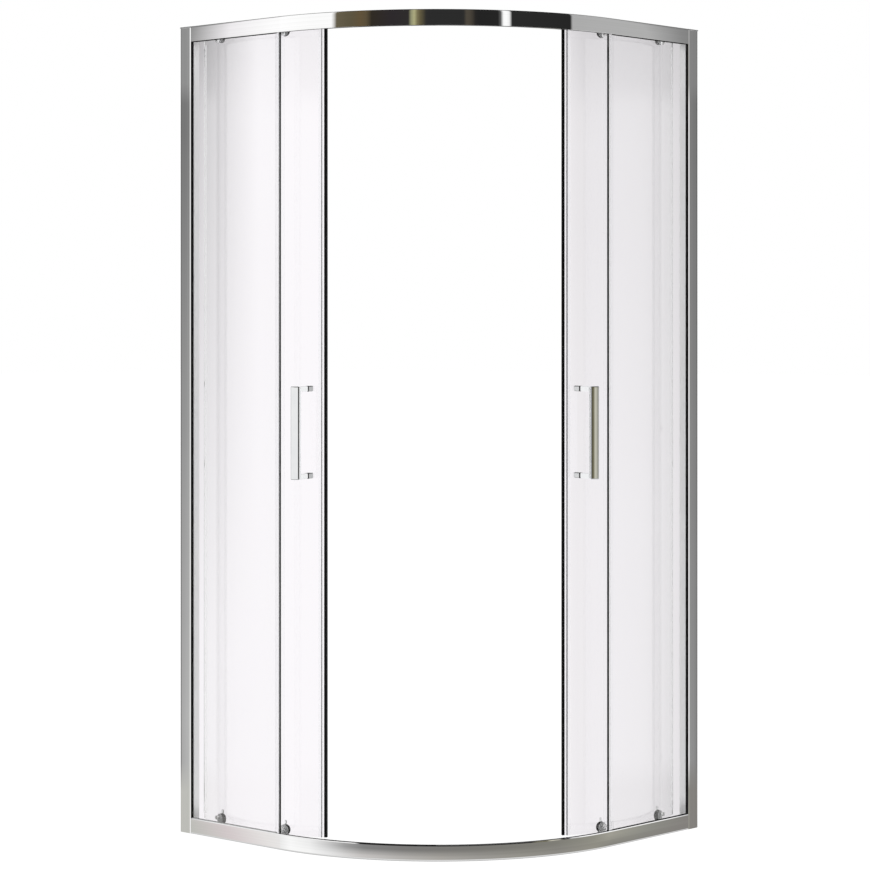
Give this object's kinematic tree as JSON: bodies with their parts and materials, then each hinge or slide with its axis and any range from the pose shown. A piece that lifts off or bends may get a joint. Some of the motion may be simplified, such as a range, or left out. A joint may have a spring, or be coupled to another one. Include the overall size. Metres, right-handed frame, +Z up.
{
  "type": "quadrant shower enclosure",
  "caption": "Quadrant shower enclosure with a curved front: fixed side panels and curved sliding glass doors on rollers between chrome rails.",
  "frame": {"origin": "middle of the square footprint, at the underside of the bottom rail", "axes": "+Z up; the walls lie on the planes x = -0.435 and y = +0.435; the curved front faces +X -Y"},
  "size_m": [0.87, 0.87, 1.9],
  "materials": {
    "polished_aluminium": "polished",
    "clear_glass": "clear",
    "black_rubber": "matt",
    "clear_vinyl": "clear",
    "black_magnet": "satin",
    "chrome_plate": "polished",
    "stainless_screw": "satin",
    "white_nylon": "satin",
    "grey_plastic": "satin",
    "spring_steel": "bright"
  },
  "bodies": {
    "frame": {"top_rail": "polished_aluminium", "bottom_rail": "polished_aluminium", "frame_post_left": "polished_aluminium", "frame_post_right": "polished_aluminium", "wall_channel_left": "polished_aluminium", "wall_channel_right": "polished_aluminium", "side_screws": "stainless_screw", "side_screw_covers": "white_nylon", "rail_end_screws": "stainless_screw", "post_caps": "chrome_plate", "fixed_glass_left": "clear_glass", "fixed_glass_right": "clear_glass", "rail_gaskets_left": "black_rubber", "rail_gaskets_right": "black_rubber", "post_gasket_left": "black_rubber", "post_gasket_right": "black_rubber", "edge_seal_left": "clear_vinyl", "edge_seal_right": "clear_vinyl", "door_stops": "grey_plastic"},
    "door_left": {"door_glass_left": "clear_glass", "magnet_strip_left": "black_magnet", "magnet_carrier_left": "clear_vinyl", "rear_seal_left": "clear_vinyl", "handle_left": "chrome_plate", "handle_screws_left": "stainless_screw", "handle_caps_left": "chrome_plate", "top_roller_brackets_left": "chrome_plate", "roller_bolts_left": "stainless_screw", "top_roller_caps_left": "chrome_plate", "glass_washers_left": "black_rubber", "bottom_roller_housings_left": "chrome_plate", "slider_spring_front_left": "spring_steel", "slider_spring_rear_left": "spring_steel"},
    "release_slider_front_left": {"release_slider_front_left": "chrome_plate"},
    "top_wheel_front_left": {"top_wheel_front_left": "white_nylon"},
    "bottom_wheel_front_left": {"bottom_wheel_front_left": "white_nylon"},
    "release_slider_rear_left": {"release_slider_rear_left": "chrome_plate"},
    "top_wheel_rear_left": {"top_wheel_rear_left": "white_nylon"},
    "bottom_wheel_rear_left": {"bottom_wheel_rear_left": "white_nylon"},
    "door_right": {"door_glass_right": "clear_glass", "magnet_strip_right": "black_magnet", "magnet_carrier_right": "clear_vinyl", "rear_seal_right": "clear_vinyl", "handle_right": "chrome_plate", "handle_screws_right": "stainless_screw", "handle_caps_right": "chrome_plate", "top_roller_brackets_right": "chrome_plate", "roller_bolts_right": "stainless_screw", "top_roller_caps_right": "chrome_plate", "glass_washers_right": "black_rubber", "bottom_roller_housings_right": "chrome_plate", "slider_spring_front_right": "spring_steel", "slider_spring_rear_right": "spring_steel"},
    "release_slider_front_right": {"release_slider_front_right": "chrome_plate"},
    "top_wheel_front_right": {"top_wheel_front_right": "white_nylon"},
    "bottom_wheel_front_right": {"bottom_wheel_front_right": "white_nylon"},
    "release_slider_rear_right": {"release_slider_rear_right": "chrome_plate"},
    "top_wheel_rear_right": {"top_wheel_rear_right": "white_nylon"},
    "bottom_wheel_rear_right": {"bottom_wheel_rear_right": "white_nylon"}
  },
  "joints": [
    {"name": "door_left_slide", "type": "hinge", "parent": "frame", "child": "door_left", "pos_m": [-0.20685, 0.52169, 0], "axis": [0, 0, 1], "range_deg": [0, 19.12]},
    {"name": "release_front_left_press", "type": "slide", "parent": "door_left", "child": "release_slider_front_left", "axis": [0, 0, -1], "range_m": [0, 0.004], "stiffness_N_per_m": 1500, "springref_m": -0.004, "deforming": ["slider_spring_front_left"]},
    {"name": "top_wheel_front_left_spin", "type": "hinge", "parent": "door_left", "child": "top_wheel_front_left", "pos_m": [-0.13036, -0.41855, 1.8853], "axis": [-0.2188, 0.9758, 0], "continuous": true},
    {"name": "bottom_wheel_front_left_spin", "type": "hinge", "parent": "release_slider_front_left", "child": "bottom_wheel_front_left", "pos_m": [-0.13036, -0.41855, 0.0147], "axis": [-0.2188, 0.9758, 0], "continuous": true},
    {"name": "release_rear_left_press", "type": "slide", "parent": "door_left", "child": "release_slider_rear_left", "axis": [0, 0, -1], "range_m": [0, 0.004], "stiffness_N_per_m": 1500, "springref_m": -0.004, "deforming": ["slider_spring_rear_left"]},
    {"name": "top_wheel_rear_left_spin", "type": "hinge", "parent": "door_left", "child": "top_wheel_rear_left", "pos_m": [-0.3554, -0.4086, 1.8853], "axis": [0.2188, 0.9758, 0], "continuous": true},
    {"name": "bottom_wheel_rear_left_spin", "type": "hinge", "parent": "release_slider_rear_left", "child": "bottom_wheel_rear_left", "pos_m": [-0.3554, -0.4086, 0.0147], "axis": [0.2188, 0.9758, 0], "continuous": true},
    {"name": "door_right_slide", "type": "hinge", "parent": "frame", "child": "door_right", "pos_m": [-0.52169, 0.20685, 0], "axis": [0, 0, -1], "range_deg": [0, 19.12]},
    {"name": "release_front_right_press", "type": "slide", "parent": "door_right", "child": "release_slider_front_right", "axis": [0, 0, -1], "range_m": [0, 0.004], "stiffness_N_per_m": 1500, "springref_m": -0.004, "deforming": ["slider_spring_front_right"]},
    {"name": "top_wheel_front_right_spin", "type": "hinge", "parent": "door_right", "child": "top_wheel_front_right", "pos_m": [0.41855, 0.13036, 1.8853], "axis": [0.9758, -0.2188, 0], "continuous": true},
    {"name": "bottom_wheel_front_right_spin", "type": "hinge", "parent": "release_slider_front_right", "child": "bottom_wheel_front_right", "pos_m": [0.41855, 0.13036, 0.0147], "axis": [0.9758, -0.2188, 0], "continuous": true},
    {"name": "release_rear_right_press", "type": "slide", "parent": "door_right", "child": "release_slider_rear_right", "axis": [0, 0, -1], "range_m": [0, 0.004], "stiffness_N_per_m": 1500, "springref_m": -0.004, "deforming": ["slider_spring_rear_right"]},
    {"name": "top_wheel_rear_right_spin", "type": "hinge", "parent": "door_right", "child": "top_wheel_rear_right", "pos_m": [0.4086, 0.3554, 1.8853], "axis": [0.9758, 0.2188, 0], "continuous": true},
    {"name": "bottom_wheel_rear_right_spin", "type": "hinge", "parent": "release_slider_rear_right", "child": "bottom_wheel_rear_right", "pos_m": [0.4086, 0.3554, 0.0147], "axis": [0.9758, 0.2188, 0], "continuous": true}
  ],
  "couplings": [
    {"joint": "top_wheel_front_left_spin", "follows": "door_left_slide", "ratio": 117.92},
    {"joint": "bottom_wheel_front_left_spin", "follows": "door_left_slide", "ratio": -117.92},
    {"joint": "top_wheel_rear_left_spin", "follows": "door_left_slide", "ratio": 117.76},
    {"joint": "bottom_wheel_rear_left_spin", "follows": "door_left_slide", "ratio": -117.76},
    {"joint": "top_wheel_front_right_spin", "follows": "door_right_slide", "ratio": 117.92},
    {"joint": "bottom_wheel_front_right_spin", "follows": "door_right_slide", "ratio": -117.92},
    {"joint": "top_wheel_rear_right_spin", "follows": "door_right_slide", "ratio": 117.76},
    {"joint": "bottom_wheel_rear_right_spin", "follows": "door_right_slide", "ratio": -117.76}
  ]
}
